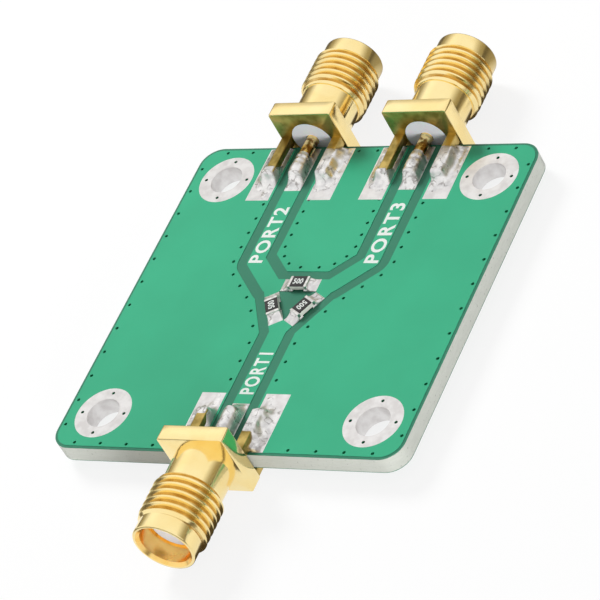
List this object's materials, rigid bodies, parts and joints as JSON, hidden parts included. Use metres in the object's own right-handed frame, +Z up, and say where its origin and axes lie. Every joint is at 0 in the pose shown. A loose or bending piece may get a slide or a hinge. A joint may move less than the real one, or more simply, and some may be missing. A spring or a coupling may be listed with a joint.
{
  "type": "rf power splitter",
  "caption": "Square circuit board that splits an RF signal: threaded coaxial jacks on opposite edges, a triangle of chip resistors between the lines, tinned mounting holes.",
  "frame": {"origin": "under the middle of the board, at the level of the flange bottoms", "axes": "+Z up out of the component side, +Y towards the output jacks, -Y towards the input jack"},
  "size_m": [0.036, 0.0574, 0.0067],
  "materials": {
    "fr4": "cut glass-epoxy laminate",
    "copper": "bare copper foil",
    "solder_mask": "green lacquer, semi-gloss",
    "via": "lacquer-coated copper barrel",
    "tin": "hot-levelled tin",
    "solder": "reflowed solder",
    "gold": "gold-plated turned brass",
    "ptfe": "white PTFE",
    "alumina": "white alumina",
    "overcoat": "black glass overcoat",
    "terminal": "tinned nickel cap",
    "ink": "white legend ink"
  },
  "bodies": {
    "root": {"laminate": "fr4", "ground_copper_top": "copper", "ground_copper_bottom": "copper", "strip_input": "copper", "strip_output_1": "copper", "strip_output_2": "copper", "solder_mask_top": "solder_mask", "solder_mask_bottom": "solder_mask", "stitching_vias": "via", "plated_mounting_holes": "tin", "pad_tinning_top": "tin", "pad_tinning_bottom": "tin", "input_jack_shell": "gold", "input_jack_insulator": "ptfe", "input_jack_contact": "gold", "input_jack_solder": "solder", "output_1_jack_shell": "gold", "output_1_jack_insulator": "ptfe", "output_1_jack_contact": "gold", "output_1_jack_solder": "solder", "output_2_jack_shell": "gold", "output_2_jack_insulator": "ptfe", "output_2_jack_contact": "gold", "output_2_jack_solder": "solder", "resistor_1_substrate": "alumina", "resistor_1_overcoat": "overcoat", "resistor_1_terminals": "terminal", "resistor_2_substrate": "alumina", "resistor_2_overcoat": "overcoat", "resistor_2_terminals": "terminal", "resistor_3_substrate": "alumina", "resistor_3_overcoat": "overcoat", "resistor_3_terminals": "terminal", "resistor_solder": "solder"}
  },
  "joints": []
}
